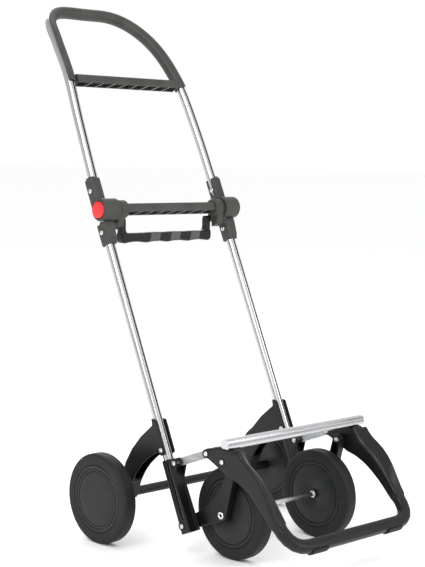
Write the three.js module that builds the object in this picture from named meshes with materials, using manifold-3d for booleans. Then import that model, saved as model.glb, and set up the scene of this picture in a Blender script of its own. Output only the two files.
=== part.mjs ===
// Folding platform cart: two leaning aluminium tubes on four wheels, a handle that folds at
// mid height, a stand with a platform bar that swings up, and rear wheel arms that swing in.
// Units are millimetres. +X is the right-hand side seen from the front, +Y the rear, +Z up.
import * as THREE from 'three';
import { mergeVertices } from 'three/addons/utils/BufferGeometryUtils.js';
import Module from 'manifold-3d';

const wasm = await Module();
wasm.setup();

// ---------- driving dimensions ----------
const DEGREE = Math.PI / 180;
const lean = 24.4 * DEGREE;              // the mast leans back by this angle
const mastFootY = -100.2;                // where the mast line meets the floor
const tubeDiameter = 18.5;
const tubeWall = 1.4;
const tubeGrooveWidth = 2.4;
const tubeGrooveDepth = 0.7;
const halfTrack = 156.7;                 // half the distance between the two mast tubes
const sideWidth = 26;                    // width of bracket, rear arm and stand leg
const seatGap = 0.3;                     // gap between pieces that touch
const runGap = 0.6;                      // gap between pieces that move past each other
const cheek = 3.2;                       // side wall of the bracket and the rear arm

const wheelDiameter = 165;
const wheelWidth = 27;
const tyreInnerDiameter = 124;
const capRadius = 50;                    // cap over the end of the rear axle
const capThick = 2;
const hubSink = 0.5;                     // the hub faces sit this far inside the tyre walls
const mainWheelX = 110.2;                // middle of a main wheel
const rearWheelX = 222.2;                // middle of a rear wheel
const mainAxle = { y: -149, z: wheelDiameter / 2 };
const rearAxle = { y: 81.3, z: wheelDiameter / 2 };
const axleDiameter = 8;
const rearTubeDiameter = 17;

// places on the mast: v is the distance behind the tube axis, s the distance up along it
const tubeBottom = 70;
const tubeTop = 628;
const bracketBottom = 44;
const bracketTop = 179;
const armPivot = { v: 0, s: 58 };        // wheel arm on the bracket
const linkPivot = { v: -24.2, s: 166.7 };  // link bar on the bracket
const rearPivot = { v: 0, s: 197 };      // rear arm on the tube
const foldAxis = { v: -16.3, s: 653.7 };   // handle on the hinge bar
const lowerSleeveBottom = 590;
const lowerSleeveTop = 631;
const upperSleeveBottom = 656;
const upperSleeveTop = 725;
const sleeveWidth = 24;
const flareFront = -15.6;                // the lower sleeve widens forward to here, under the drum
const rivetUp = 44;                      // sleeve rivets, measured from the fold axis
const rivetDown = 39;

const drumRadius = 21.5;
const drumInner = 137;                   // the drum sits outside this |x|
const drumOuter = 175;
const hubRadius = 16;
const barEnd = 113;                      // the hinge bar spans between the two hubs
const barHeight = 18;
const barDepth = 23;
const barWall = 2.6;
const ribCount = 8;
const ribSlant = 12;

const buttonRadius = 15.6;
const buttonProud = 3;
const buttonThick = 9;
const buttonTravel = 4;
const stemRadius = 3.5;
const stemLength = 17;
const springRadius = 7;
const springWire = 1.2;
const springTurns = 4;

// world places in (y, z)
const standPivot = { y: -174.2, z: 184.6 };  // stand leg on the wheel arm
const tailPivot = { y: -134.2, z: 192.6 };   // link bar on the stand tail
const carryPivot = { y: 166, z: 580 };
const gripDrop = 33;                     // carry grip below its pivot
const gripThick = 19;
const carryHalf = 110;                   // middle of a carry handle leg
const carryLeg = 12;

const armInner = 127.5;
const armOuter = 142.5;
const armPlate = 4;
const linkThick = 8;
const linkHeight = 14;
const linkSlot = 12;
const pinRadius = 3.2;
const headRadius = 4.8;
const headThick = 1.8;
const innerHeadThick = 0.6;             // the tail pin's inner heads pass close to the wheel arms

const platformHalf = 178;
const platformHeight = 16;
const platformDepth = 20;
const platformFlat = 6;                  // level strip along its top
const platformBar = { y: -188.5, z: 219 };
const footBar = { y: -330, z: 62 };
const footSection = { wide: 24, thick: 20, corner: 7 };
const footCorner = 44;
const footPadX = 98;
const footPadLength = 38;
const footPadThick = 2.4;

// ---------- materials ----------
function finish(color, roughness, metalness) {
  return new THREE.MeshStandardMaterial({ color, roughness, metalness });
}
const blackPlastic = finish(0x2c2c2d, 0.55, 0);
const wheelPlastic = finish(0x333435, 0.6, 0);
const tyreRubber = finish(0x2a2a2b, 0.8, 0);
const aluminium = finish(0xd9dadb, 0.28, 1);
const zincSteel = finish(0xb9bdc0, 0.35, 1);
const redPlastic = finish(0xd8262b, 0.3, 0);

// ---------- solids ----------
function solidOf(geometry) {
  const bare = geometry.clone();
  bare.deleteAttribute('normal');
  bare.deleteAttribute('uv');
  const merged = mergeVertices(bare, 1e-4);
  const positions = merged.getAttribute('position').array;
  const triangles = Array.from(merged.index.array);
  const corner = (i) => new THREE.Vector3().fromArray(positions, 3 * triangles[i]);
  let volume = 0;
  for (let i = 0; i < triangles.length; i += 3) {
    volume += corner(i).dot(corner(i + 1).cross(corner(i + 2)));
  }
  if (volume < 0) {
    for (let i = 0; i < triangles.length; i += 3) {
      [triangles[i], triangles[i + 1]] = [triangles[i + 1], triangles[i]];
    }
  }
  return new wasm.Manifold(new wasm.Mesh({
    numProp: 3,
    vertProperties: Float32Array.from(positions),
    triVerts: Uint32Array.from(triangles),
  }));
}

function geometryOf(solid) {
  const mesh = solid.getMesh();
  const geometry = new THREE.BufferGeometry();
  geometry.setAttribute('position', new THREE.BufferAttribute(Float32Array.from(mesh.vertProperties), 3));
  geometry.setIndex(Array.from(mesh.triVerts));
  geometry.computeVertexNormals();
  return geometry;
}

function mirrored(solid) {
  return solidOf(geometryOf(solid).scale(-1, 1, 1));
}

// A side outline given in (y, z), or in (v, s) on the mast, made thick from x0 to x1.
function plate(outline, x0, x1, bevel = 0, curveSegments = 5) {
  const geometry = new THREE.ExtrudeGeometry(outline, {
    depth: x1 - x0 - 2 * bevel,
    curveSegments,
    bevelEnabled: bevel > 0,
    bevelSize: bevel,
    bevelOffset: -bevel,
    bevelThickness: bevel,
    bevelSegments: 1,
  });
  const sideways = new THREE.Matrix4().makeBasis(
    new THREE.Vector3(0, 1, 0),
    new THREE.Vector3(0, 0, 1),
    new THREE.Vector3(1, 0, 0),
  );
  geometry.applyMatrix4(sideways);
  geometry.translate(x0 + bevel, 0, 0);
  return solidOf(geometry);
}

// A plan outline given in (x, v), raised from s0 to s1.
function column(outline, s0, s1, curveSegments = 11) {
  const geometry = new THREE.ExtrudeGeometry(outline, { depth: s1 - s0, bevelEnabled: false, curveSegments });
  geometry.translate(0, 0, s0);
  return solidOf(geometry);
}

// A profile of (radius, x) pairs turned about a line along X through (y, z).
function turned(profile, y, z, sides = 20) {
  const points = profile.map(([radius, x]) => new THREE.Vector2(radius, x));
  const geometry = new THREE.LatheGeometry(points, sides);
  geometry.rotateZ(-Math.PI / 2);
  geometry.translate(0, y, z);
  return solidOf(geometry);
}

function rod(radius, x0, x1, y, z, sides = 20) {
  return turned([[0, x0], [radius, x0], [radius, x1], [0, x1]], y, z, sides);
}

function box(x0, x1, y0, y1, z0, z1) {
  const geometry = new THREE.BoxGeometry(x1 - x0, y1 - y0, z1 - z0);
  geometry.translate((x0 + x1) / 2, (y0 + y1) / 2, (z0 + z1) / 2);
  return solidOf(geometry);
}

function roundedBlock(wide, deep, corner, cx = 0, cy = 0) {
  const outline = new THREE.Shape();
  const [x, y] = [wide / 2 - corner, deep / 2 - corner];
  outline.absarc(cx + x, cy + y, corner, 0, Math.PI / 2);
  outline.absarc(cx - x, cy + y, corner, Math.PI / 2, Math.PI);
  outline.absarc(cx - x, cy - y, corner, Math.PI, 1.5 * Math.PI);
  outline.absarc(cx + x, cy - y, corner, 1.5 * Math.PI, 2 * Math.PI);
  return outline;
}

function disc(radius, x = 0, y = 0) {
  const outline = new THREE.Shape();
  outline.absarc(x, y, radius, 0, 2 * Math.PI);
  return outline;
}

// A section swept along a curve.
function swept(outline, path, steps, curveSegments) {
  return solidOf(new THREE.ExtrudeGeometry(outline, { extrudePath: path, steps, curveSegments }));
}

const pinSides = 10;

// A pin through a side assembly with a low round head at each end.
function headedPin(xInner, xOuter, y, z) {
  return turned([
    [0, xInner - headThick], [headRadius * 0.8, xInner - headThick],
    [headRadius, xInner], [pinRadius, xInner], [pinRadius, xOuter], [headRadius, xOuter],
    [headRadius * 0.8, xOuter + headThick], [0, xOuter + headThick],
  ], y, z, pinSides);
}

// ---------- scene graph ----------
const cart = new THREE.Group();
const mast = new THREE.Group();
mast.position.set(0, mastFootY, 0);
mast.rotation.x = -lean;
cart.add(mast);

function add(parent, name, solid, material) {
  const mesh = new THREE.Mesh(geometryOf(solid), material);
  mesh.name = name;
  parent.add(mesh);
}

function addPair(parent, name, solid, material) {
  add(parent, `left_${name}`, mirrored(solid), material);
  add(parent, `right_${name}`, solid, material);
}

// world (y, z) of a place on the mast
function offMast({ v, s }) {
  return {
    y: mastFootY + s * Math.sin(lean) + v * Math.cos(lean),
    z: s * Math.cos(lean) - v * Math.sin(lean),
  };
}

const tubeRadius = tubeDiameter / 2;
const sideInner = halfTrack - sideWidth / 2;
const sideOuter = halfTrack + sideWidth / 2;
const channelHalf = sideWidth / 2 - cheek;
const sleeveInner = halfTrack - sleeveWidth / 2;

// ---------- mast tubes ----------
function tubeSection() {
  const outline = new THREE.Shape();
  const half = Math.asin(tubeGrooveWidth / 2 / tubeRadius);
  const front = -Math.PI / 2;
  const floor = tubeRadius - tubeGrooveDepth;
  outline.absarc(halfTrack, 0, tubeRadius, front + half, front + 2 * Math.PI - half);
  outline.lineTo(halfTrack - tubeGrooveWidth / 2, -floor);
  outline.lineTo(halfTrack + tubeGrooveWidth / 2, -floor);
  const bore = new THREE.Path();
  bore.absarc(halfTrack, 0, tubeRadius - tubeWall, 0, 2 * Math.PI);
  outline.holes.push(bore);
  return outline;
}
// the hole through a tube or a wall for a headed pin, along X through (y, z)
function pinHole(y, z, x = halfTrack, reach = 20) {
  return rod(pinRadius + seatGap, x - reach, x + reach, y, z, 12);
}
const lowerTube = column(tubeSection(), tubeBottom, tubeTop)
  .subtract(pinHole(rearPivot.v, rearPivot.s))
  .subtract(pinHole(0, foldAxis.s - rivetDown));
addPair(mast, 'lower_tube', lowerTube, aluminium);

// ---------- lower brackets ----------
function bracketOutline() {
  const lug = 8.5;
  const frontEdge = -15;
  const outline = new THREE.Shape();
  outline.moveTo(sideWidth, bracketBottom);
  outline.lineTo(sideWidth, bracketTop);
  outline.lineTo(linkPivot.v + lug, bracketTop - 2);
  outline.absarc(linkPivot.v, linkPivot.s, lug, 0.35 * Math.PI, 1.12 * Math.PI);
  outline.lineTo(frontEdge, linkPivot.s - 26);
  outline.lineTo(frontEdge - 3, bracketBottom);
  return outline;
}

function lowerBracket() {
  const half = sideWidth / 2;
  const plan = new THREE.Shape();
  plan.moveTo(halfTrack - half, -2 * half - 10);
  plan.lineTo(halfTrack + half, -2 * half - 10);
  plan.absarc(halfTrack, 0, half, 0, Math.PI);
  const body = plate(bracketOutline(), sideInner, sideOuter)
    .intersect(column(plan, bracketBottom - 1, bracketTop + 1, 7));
  const bore = column(disc(tubeRadius + seatGap, halfTrack, 0), tubeBottom - 3, bracketTop + 5);
  const channel = box(halfTrack - channelHalf, halfTrack + channelHalf, -60, -tubeRadius - 2.4, 0, 250);
  const window = box(halfTrack + 5, sideOuter + 1, -10.5, -5.5, armPivot.s + 12, bracketTop - 8);
  return body
    .subtract(bore)
    .subtract(channel)
    .subtract(window)
    .subtract(pinHole(armPivot.v, armPivot.s))
    .subtract(pinHole(linkPivot.v, linkPivot.s));
}
addPair(mast, 'lower_bracket', lowerBracket(), blackPlastic);

// ---------- lower sleeves with the hubs of the hinge bar ----------
const pivotOnMast = {
  v: (carryPivot.y - mastFootY) * Math.cos(lean) - carryPivot.z * Math.sin(lean),
  s: (carryPivot.y - mastFootY) * Math.sin(lean) + carryPivot.z * Math.cos(lean),
};
const lugInner = carryHalf + carryLeg / 2 + runGap;
const lugOuter = lugInner + 5;

function carryLug() {
  const outline = new THREE.Shape();
  const radius = 6.5;
  outline.absarc(pivotOnMast.v, pivotOnMast.s, radius, -0.75 * Math.PI, 0.35 * Math.PI);
  outline.lineTo(foldAxis.v + 8, foldAxis.s);
  outline.lineTo(foldAxis.v - 8, foldAxis.s - 8);
  return plate(outline, lugInner, lugOuter);
}

function lowerSleeve() {
  const body = column(
    roundedBlock(sleeveWidth, sleeveWidth, 6, halfTrack, 0),
    lowerSleeveBottom,
    lowerSleeveTop,
    2,
  );
  const gussetBottom = lowerSleeveTop - 9;
  const gusset = new THREE.Shape();
  gusset.moveTo(-sleeveWidth / 2, gussetBottom);
  gusset.lineTo(sleeveWidth / 4, gussetBottom);
  gusset.lineTo(foldAxis.v + hubRadius - 4, foldAxis.s - 4);
  gusset.lineTo(foldAxis.v - hubRadius + 1, foldAxis.s - 4);
  const hubEnd = drumInner - runGap;
  const flare = new THREE.Shape();
  flare.moveTo(0, lowerSleeveBottom + 6);
  flare.lineTo(-sleeveWidth / 2, lowerSleeveBottom + 6);
  flare.lineTo(flareFront, lowerSleeveTop - 7);
  flare.lineTo(flareFront, lowerSleeveTop + 4);
  flare.lineTo(0, lowerSleeveTop + 4);
  const seat = rod(drumRadius + runGap, hubEnd, drumOuter, foldAxis.v, foldAxis.s, 32);
  return body
    .add(plate(flare, sleeveInner, halfTrack + sleeveWidth / 2, 1.5).subtract(seat))
    .add(plate(gusset, barEnd + 8, hubEnd))
    .add(box(barEnd + 20, halfTrack, -sleeveWidth / 2, sleeveWidth / 4, gussetBottom, lowerSleeveTop))
    .add(rod(hubRadius, barEnd, hubEnd, foldAxis.v, foldAxis.s, 24))
    .add(rod(hubRadius + 1.8, barEnd + 2, hubEnd - 5, foldAxis.v, foldAxis.s, 24))
    .add(carryLug())
    .subtract(column(disc(tubeRadius + seatGap, halfTrack, 0), lowerSleeveBottom - 5, tubeTop + 1))
    .subtract(rod(stemRadius + 1, barEnd - 1, hubEnd + 1, foldAxis.v, foldAxis.s))
    .subtract(pinHole(0, foldAxis.s - rivetDown))
    .subtract(pinHole(pivotOnMast.v, pivotOnMast.s, lugInner, 8));
}
addPair(mast, 'lower_sleeve', lowerSleeve(), blackPlastic);

// ---------- hinge bar between the hubs ----------
// A bar open underneath, with slanting ribs across the opening.
function openChannel(half, centre) {
  const side = barDepth / 2;
  const bar = plate(roundedBlock(barDepth, barHeight, 4, centre.v, centre.s), -half, half, 0, 1);
  const inside = box(
    -half + barWall,
    half - barWall,
    centre.v - side + barWall,
    centre.v + side - barWall,
    centre.s - barHeight,
    centre.s + barHeight / 2 - barWall,
  );
  const pitch = (2 * half - 2 * barWall) / (ribCount + 1);
  const ribs = Array.from({ length: ribCount }, (_, i) => {
    const x = -half + barWall + (i + 1) * pitch;
    const front = centre.v - side + 1;
    const back = centre.v + side - 1;
    const rib = new THREE.Shape();
    rib.moveTo(x - ribSlant / 2 - 1, front);
    rib.lineTo(x - ribSlant / 2 + 1, front);
    rib.lineTo(x + ribSlant / 2 + 1, back);
    rib.lineTo(x + ribSlant / 2 - 1, back);
    return column(rib, centre.s - barHeight / 2 + 1, centre.s + barHeight / 2 - 1);
  });
  return ribs.reduce((solid, rib) => solid.add(rib), bar.subtract(inside));
}
add(mast, 'hinge_bar', openChannel(barEnd - seatGap, foldAxis), blackPlastic);

// ---------- pins that stay with the mast ----------
const sidePin = (place) => headedPin(sideInner - seatGap, sideOuter + seatGap, place.v, place.s);
const sleevePin = (s) => headedPin(
  halfTrack - sleeveWidth / 2 - seatGap,
  halfTrack + sleeveWidth / 2 + seatGap,
  0,
  s,
);
addPair(mast, 'link_rivet', sidePin(linkPivot), zincSteel);
addPair(mast, 'rear_arm_rivet', sidePin(rearPivot), zincSteel);
addPair(
  mast,
  'wheel_arm_pin',
  headedPin(armInner - seatGap, sideOuter + seatGap, armPivot.v, armPivot.s),
  zincSteel,
);
addPair(mast, 'lower_sleeve_rivet', sleevePin(foldAxis.s - rivetDown), zincSteel);

// ---------- handle: one bent tube, its cover, crossbar and drums ----------
const handleRight = [
  [155.5, 0, upperSleeveBottom + 8],
  [149.5, 0, 840],
  [141.7, 4, 938],
  [128.4, 26, 1028],
  [105.4, 53, 1087],
  [70, 65.5, 1112],
];
const handleTop = [0, 66.5, 1115];
const handleLeft = handleRight.map(([x, v, s]) => [-x, v, s]).reverse();
const handlePath = new THREE.CatmullRomCurve3(
  [...handleRight, handleTop, ...handleLeft].map((place) => new THREE.Vector3(...place)),
  false,
  'centripetal',
);
const handleSteps = 36;

function ringSection(outer, inner) {
  const outline = disc(outer);
  const bore = new THREE.Path();
  bore.absarc(0, 0, inner, 0, 2 * Math.PI);
  outline.holes.push(bore);
  return outline;
}
const handleRing = ringSection(tubeRadius, tubeRadius - tubeWall);
const upperHole = pinHole(0, foldAxis.s + rivetUp);
const handleTube = swept(handleRing, handlePath, handleSteps, 6)
  .subtract(upperHole)
  .subtract(mirrored(upperHole));
add(mast, 'handle_tube', handleTube, aluminium);

const crossbarPlace = { v: 3, s: 930 };
const coverClear = 1.4;
const coverRadius = 12.6;
const coverFrontLip = 47 * DEGREE;       // measured from the outward side of the tube
const coverBackLip = 87 * DEGREE;

// the stretch of the handle path from the crossbar upwards
function coverPath() {
  const start = crossbarPlace.s - barHeight / 2;
  const above = handlePath.getSpacedPoints(2 * handleSteps).filter((point) => point.z > start);
  return new THREE.CatmullRomCurve3(above, false, 'centripetal');
}

// A C-shaped section that leaves the outer and rear side of the tube bare.
function coverSection() {
  const outline = new THREE.Shape();
  const [from, to] = [coverBackLip - Math.PI, Math.PI - coverFrontLip];
  outline.absarc(0, 0, coverRadius, from, to);
  outline.absarc(0, 0, tubeRadius + coverClear, to, from, true);
  return outline;
}
add(mast, 'handle_cover', swept(coverSection(), coverPath(), 26, 4), blackPlastic);

function handleCrossbar() {
  const around = swept(disc(coverRadius + runGap), handlePath, handleSteps, 6);
  return openChannel(handleRight[2][0] - coverRadius + 2, crossbarPlace).subtract(around);
}
add(mast, 'handle_crossbar', handleCrossbar(), blackPlastic);

// The drum turns about the fold axis; its pocket takes the button or the cap.
function upperSleeve() {
  const block = roundedBlock(sleeveWidth, sleeveWidth, 6, halfTrack, 0);
  const drum = turned([
    [0, drumInner], [drumRadius, drumInner], [drumRadius, drumOuter - 2],
    [drumRadius - 2, drumOuter], [0, drumOuter],
  ], foldAxis.v, foldAxis.s, 24);
  const pocketFloor = drumOuter + buttonProud - buttonThick - buttonTravel - 0.5;
  const { v, s } = foldAxis;
  const crown = roundedBlock(sleeveWidth - 5, sleeveWidth - 5, 5, halfTrack, 0);
  return column(block, upperSleeveBottom, upperSleeveTop - 4, 2)
    .add(column(crown, upperSleeveBottom, upperSleeveTop, 2))
    .add(drum)
    .subtract(rod(buttonRadius + runGap, pocketFloor, drumOuter + 1, v, s, 24))
    .subtract(rod(stemRadius + runGap, drumInner - 1, drumOuter, v, s))
    .subtract(rod(springRadius + springWire + runGap, drumInner + 2, drumOuter, v, s))
    .subtract(rod(hubRadius + runGap, barEnd, drumInner, v, s))
    .subtract(swept(disc(tubeRadius + seatGap), handlePath, handleSteps, 6))
    .subtract(pinHole(0, s + rivetUp));
}
addPair(mast, 'upper_sleeve', upperSleeve(), blackPlastic);
addPair(mast, 'upper_sleeve_rivet', sleevePin(foldAxis.s + rivetUp), zincSteel);

// ---------- release button on the left, plain cap on the right ----------
function buttonBody(faceX) {
  const back = faceX - buttonThick;
  return turned([
    [0, back - stemLength], [stemRadius, back - stemLength], [stemRadius, back], [buttonRadius, back],
    [buttonRadius, faceX - 1.5], [buttonRadius - 1.5, faceX], [0, faceX],
  ], foldAxis.v, foldAxis.s, 24);
}
add(mast, 'release_button', mirrored(buttonBody(drumOuter + buttonProud)), redPlastic);

// The spring pushes the button out; it stops short of the well floor by the button's travel.
class Coil extends THREE.Curve {
  constructor(radius, start, length, turns) {
    super();
    Object.assign(this, { radius, start, length, turns });
  }

  getPoint(t, target = new THREE.Vector3()) {
    const angle = 2 * Math.PI * this.turns * t;
    return target.set(
      this.start + this.length * t,
      foldAxis.v + this.radius * Math.cos(angle),
      foldAxis.s + this.radius * Math.sin(angle),
    );
  }
}
const springOuter = drumOuter + buttonProud - buttonThick - springWire / 2 - seatGap;
const springInner = drumInner + 2 + buttonTravel + springWire / 2 + runGap;
const coil = new Coil(springRadius - 0.5, springInner, springOuter - springInner, springTurns);
add(mast, 'button_spring', mirrored(swept(disc(springWire / 2), coil, springTurns * 10, 3)), zincSteel);
add(mast, 'hinge_cap', buttonBody(drumOuter + 0.5), blackPlastic);

// ---------- carry handle hanging from the hinge bar ----------
function carryHandle() {
  const grip = { y: carryPivot.y, z: carryPivot.z - gripDrop };
  const outerX = carryHalf + carryLeg / 2;
  const front = new THREE.Shape();
  const corner = 9;
  const top = carryPivot.z + 6;
  const bottom = grip.z - gripThick / 2;
  const innerX = carryHalf - carryLeg / 2;
  front.moveTo(outerX, top);
  front.lineTo(innerX, top);
  front.lineTo(innerX, grip.z + gripThick / 2 + corner);
  front.quadraticCurveTo(innerX, grip.z + gripThick / 2, innerX - corner, grip.z + gripThick / 2);
  front.lineTo(-innerX + corner, grip.z + gripThick / 2);
  front.quadraticCurveTo(-innerX, grip.z + gripThick / 2, -innerX, grip.z + gripThick / 2 + corner);
  front.lineTo(-innerX, top);
  front.lineTo(-outerX, top);
  front.lineTo(-outerX, bottom + corner);
  front.quadraticCurveTo(-outerX, bottom, -outerX + corner, bottom);
  const scallops = 4;
  const pitch = (2 * (outerX - corner)) / scallops;
  for (let i = 0; i < scallops; i += 1) {
    const x = -outerX + corner + i * pitch;
    front.quadraticCurveTo(x + pitch / 2, bottom + 5, x + pitch, bottom);
  }
  front.quadraticCurveTo(outerX, bottom, outerX, bottom + corner);
  const thick = new THREE.ExtrudeGeometry(front, {
    depth: gripThick - 4,
    bevelEnabled: true,
    bevelSize: 2,
    bevelOffset: -2,
    bevelThickness: 2,
    bevelSegments: 1,
    curveSegments: 5,
  });
  thick.rotateX(Math.PI / 2);
  thick.translate(0, grip.y + gripThick / 2 - 2, 0);
  const slim = plate(disc(6, carryPivot.y, carryPivot.z), -outerX, outerX, 0, 16)
    .add(box(-outerX, outerX, carryPivot.y - 6, carryPivot.y + 6, bottom + 6, carryPivot.z))
    .add(box(-outerX, outerX, carryPivot.y - 20, carryPivot.y + 20, bottom - 9, bottom + gripThick));
  const stub = rod(pinRadius, outerX - 1, lugOuter - seatGap, carryPivot.y, carryPivot.z, 14);
  return solidOf(thick).intersect(slim).add(stub).add(mirrored(stub));
}
add(cart, 'carry_handle', carryHandle(), blackPlastic);

// ---------- stand: two legs joined by a foot bar, under a platform bar ----------
const tailRadius = 9.5;
const webStart = standPivot.y - 14;        // the tail is open for the link bar behind this
const seatTop = platformBar.z - platformHeight / 2 - seatGap;

function legOutline() {
  const back = platformBar.y + platformDepth / 2;
  const outline = new THREE.Shape();
  outline.absarc(tailPivot.y, tailPivot.z, tailRadius, -0.6 * Math.PI, 0.42 * Math.PI);
  outline.lineTo(back + 3, seatTop + 2);
  outline.lineTo(back + 1, seatTop);
  outline.lineTo(platformBar.y - platformDepth / 2 - 3, seatTop);
  outline.splineThru([[-217, 186], [-247, 165], [-277, 137], [-298, 112], [-307, 102]].map(pair));
  outline.lineTo(-293, 88);
  outline.splineThru([[-283, 98], [-261, 120], [-231, 143], [-204, 156], [-184, 161]].map(pair));
  outline.lineTo(standPivot.y + 6, standPivot.z - 15);
  return outline;
}

function pair([y, z]) {
  return new THREE.Vector2(y, z);
}

// The foot bar runs across and turns up into both legs.
function footPath() {
  const down = new THREE.Vector3(0, footBar.y + 296, footBar.z - 98).normalize();
  const low = new THREE.Vector3(halfTrack, footBar.y, footBar.z);
  const legEnd = low.clone().addScaledVector(down, -footCorner - 14);
  const bendStart = low.clone().addScaledVector(down, -footCorner);
  const bendEnd = low.clone().setX(halfTrack - footCorner);
  const other = (point) => point.clone().setX(-point.x);
  const path = new THREE.CurvePath();
  path.add(new THREE.LineCurve3(legEnd, bendStart));
  path.add(new THREE.QuadraticBezierCurve3(bendStart, low, bendEnd));
  path.add(new THREE.LineCurve3(bendEnd, other(bendEnd)));
  path.add(new THREE.QuadraticBezierCurve3(other(bendEnd), other(low), other(bendStart)));
  path.add(new THREE.LineCurve3(other(bendStart), other(legEnd)));
  return path;
}

function standFrame() {
  const leg = plate(legOutline(), sideInner, sideOuter, 3, 2);
  const slot = box(halfTrack - linkSlot / 2, halfTrack + linkSlot / 2, webStart, tailPivot.y + 40, 100, 260);
  const side = leg
    .subtract(slot)
    .subtract(pinHole(standPivot.y, standPivot.z))
    .subtract(pinHole(tailPivot.y, tailPivot.z));
  const { wide, thick, corner } = footSection;
  const foot = swept(roundedBlock(wide, thick, corner), footPath(), 30, 1);
  return side.add(mirrored(side)).add(foot);
}
add(cart, 'stand_frame', standFrame(), blackPlastic);

// Rubber pads wrapped under the foot bar.
function footPad() {
  const around = (grow) => {
    const { wide, thick, corner } = footSection;
    return swept(roundedBlock(wide + 2 * grow, thick + 2 * grow, corner + grow), footPath(), 30, 1);
  };
  const [x0, x1] = [footPadX - footPadLength / 2, footPadX + footPadLength / 2];
  return around(footPadThick + seatGap)
    .subtract(around(seatGap))
    .intersect(box(x0, x1, footBar.y - 20, footBar.y + 20, footBar.z - 30, footBar.z - 3));
}
addPair(cart, 'foot_pad', footPad(), tyreRubber);

// Round at the back and nearly flat in front.
function platformSection() {
  const [half, back] = [platformHeight / 2, platformBar.y + platformDepth / 2 - platformHeight / 2];
  const front = platformBar.y - platformDepth / 2;
  const outline = new THREE.Shape();
  outline.absarc(back, platformBar.z, half, -Math.PI / 2, Math.PI / 2);
  outline.lineTo(back - platformFlat, platformBar.z + half);
  outline.quadraticCurveTo(front + 1, platformBar.z + half, front, platformBar.z - half + 3);
  outline.lineTo(front + 1, platformBar.z - half);
  return outline;
}
add(cart, 'platform_bar', plate(platformSection(), -platformHalf, platformHalf), aluminium);

// ---------- pins that ride with the stand ----------
// The tail pin is two stubs, one in each wall, so that the link bar can leave it.
const slotHalf = linkSlot / 2;
function stubPin(headX, tipX, head) {
  return turned([
    [0, headX + head], [headRadius * 0.8, headX + head], [headRadius, headX],
    [pinRadius, headX], [pinRadius, tipX], [0, tipX],
  ], tailPivot.y, tailPivot.z, pinSides);
}
const outerStub = stubPin(sideOuter + seatGap, halfTrack + slotHalf + seatGap, headThick);
const innerStub = stubPin(sideInner - seatGap, halfTrack - slotHalf - seatGap, -innerHeadThick);
addPair(cart, 'tail_pin_outer', outerStub, zincSteel);
addPair(cart, 'tail_pin_inner', innerStub, zincSteel);
addPair(
  cart,
  'stand_pin',
  headedPin(armInner - seatGap, sideOuter + seatGap, standPivot.y, standPivot.z),
  zincSteel,
);

// ---------- wheel arms, outside the main wheels ----------
function armOutline(inset) {
  const e = offMast(armPivot);
  const outline = new THREE.Shape();
  outline.absarc(e.y, e.z, 12.5 - inset, 0.28 * Math.PI, -0.36 * Math.PI, true);
  outline.absarc(mainAxle.y, mainAxle.z, 10 - inset, -0.36 * Math.PI - Math.PI * 0.28, -1.05 * Math.PI, true);
  outline.absarc(standPivot.y, standPivot.z, 10 - inset, Math.PI, 0, true);
  outline.quadraticCurveTo(-153 - 0.7 * inset, 108 - 0.7 * inset, e.y + 10, e.z + 11 - inset);
  return outline;
}

function wheelArm() {
  const e = offMast(armPivot);
  const body = plate(armOutline(0), armInner, armOuter);
  const pocket = plate(armOutline(armPlate), armInner - 1, armOuter - armPlate);
  const boss = (place, radius) => rod(radius, armInner, armOuter - 1, place.y, place.z, 16);
  return body
    .subtract(pocket)
    .add(boss(e, 7.5))
    .add(boss(standPivot, 7.5))
    .add(boss(mainAxle, 8))
    .subtract(pinHole(e.y, e.z, armInner))
    .subtract(pinHole(standPivot.y, standPivot.z, armInner))
    .subtract(rod(axleDiameter / 2 + seatGap, armInner - 5, armOuter + 5, mainAxle.y, mainAxle.z, 16));
}
addPair(cart, 'wheel_arm', wheelArm(), blackPlastic);

// ---------- link bars ----------
function linkBar() {
  const a = offMast(linkPivot);
  const b = tailPivot;
  const along = Math.atan2(b.z - a.z, b.y - a.y);
  const outline = new THREE.Shape();
  outline.absarc(a.y, a.z, linkHeight / 2, along + Math.PI / 2, along + 1.5 * Math.PI);
  outline.absarc(b.y, b.z, linkHeight / 2, along - Math.PI / 2, along + Math.PI / 2);
  const hole = pinRadius + 0.5;
  const [x0, x1] = [halfTrack - linkThick / 2, halfTrack + linkThick / 2];
  return plate(outline, x0, x1)
    .subtract(rod(hole, x0 - 1, x1 + 1, a.y, a.z, 14))
    .subtract(rod(hole, x0 - 1, x1 + 1, b.y, b.z, 14));
}
addPair(cart, 'link_bar', linkBar(), aluminium);

// ---------- rear arms and their axle tube ----------
function rearArmOutline(shrink) {
  const p = offMast(rearPivot);
  const topFront = offMast({ v: -9.5, s: 250 });
  const lowFront = offMast({ v: -9.5, s: 189 });
  const outline = new THREE.Shape();
  outline.moveTo(lowFront.y, lowFront.z);
  outline.lineTo(topFront.y, topFront.z);
  outline.lineTo(9 - shrink, 233 + shrink / 2);
  outline.lineTo(6.5 - shrink, 221 - shrink);
  outline.quadraticCurveTo(91 - shrink, 160 - shrink, rearAxle.y + 12 - shrink, rearAxle.z + 2);
  outline.absarc(rearAxle.y, rearAxle.z, 12 - shrink, 0, -Math.PI, true);
  outline.quadraticCurveTo(54 - shrink, 141, p.y + 12, p.z - 6);
  outline.absarc(p.y, p.z, 10, -0.15 * Math.PI, -0.8 * Math.PI, true);
  return outline;
}

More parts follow.
